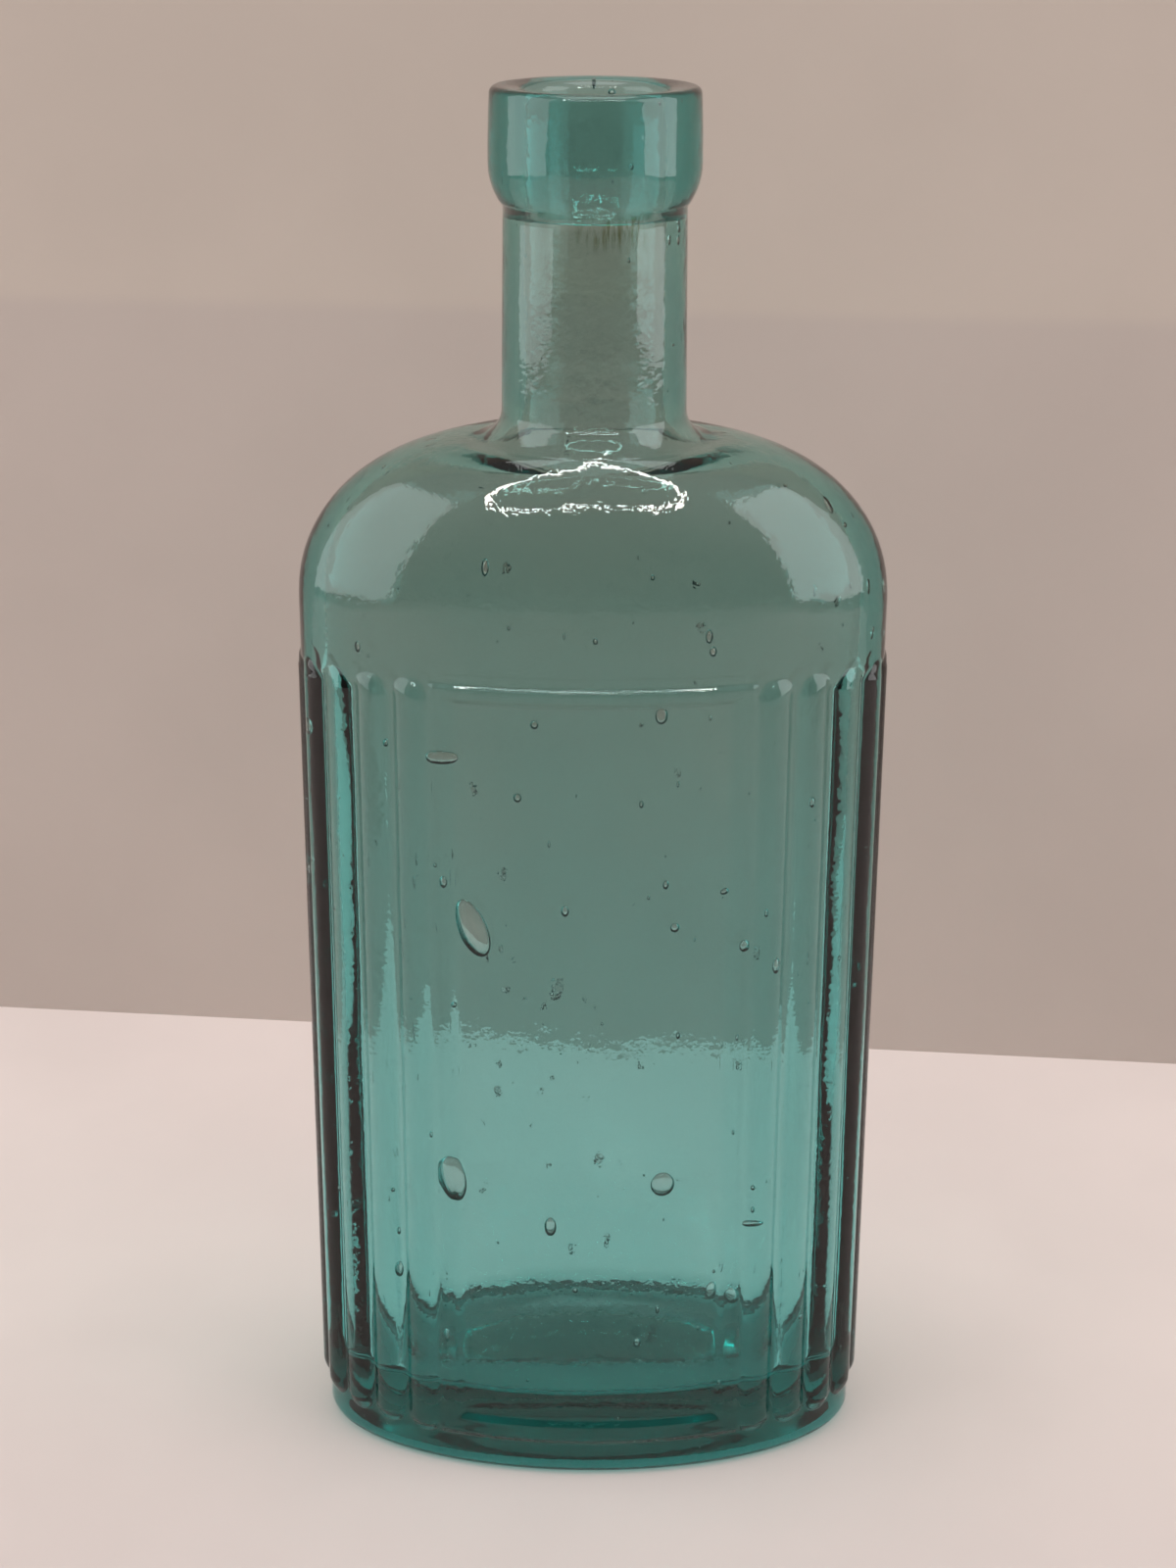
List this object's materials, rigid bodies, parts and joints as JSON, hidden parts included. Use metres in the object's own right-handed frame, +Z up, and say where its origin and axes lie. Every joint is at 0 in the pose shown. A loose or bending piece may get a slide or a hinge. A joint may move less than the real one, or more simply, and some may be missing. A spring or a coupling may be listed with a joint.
{
  "type": "poison bottle",
  "caption": "Flat oval bottle of mould-blown glass with a framed plain panel between upright ribs in front, a plain back, a rounded shoulder, a round neck and a laid-on lip with a cork bore.",
  "frame": {"origin": "centre of the foot, on the surface the bottle stands on", "axes": "+Z up along the neck, +X along the body's width, -Y out of the front panel"},
  "size_m": [0.087, 0.0437, 0.21],
  "materials": {
    "aqua_glass": "fire-polished, blown in a mould, with seeds and blisters",
    "lip_glass": "fire-polished and tooled, with fine drag lines"
  },
  "bodies": {
    "root": {"bottle_body": "aqua_glass", "applied_lip": "lip_glass"}
  },
  "joints": []
}
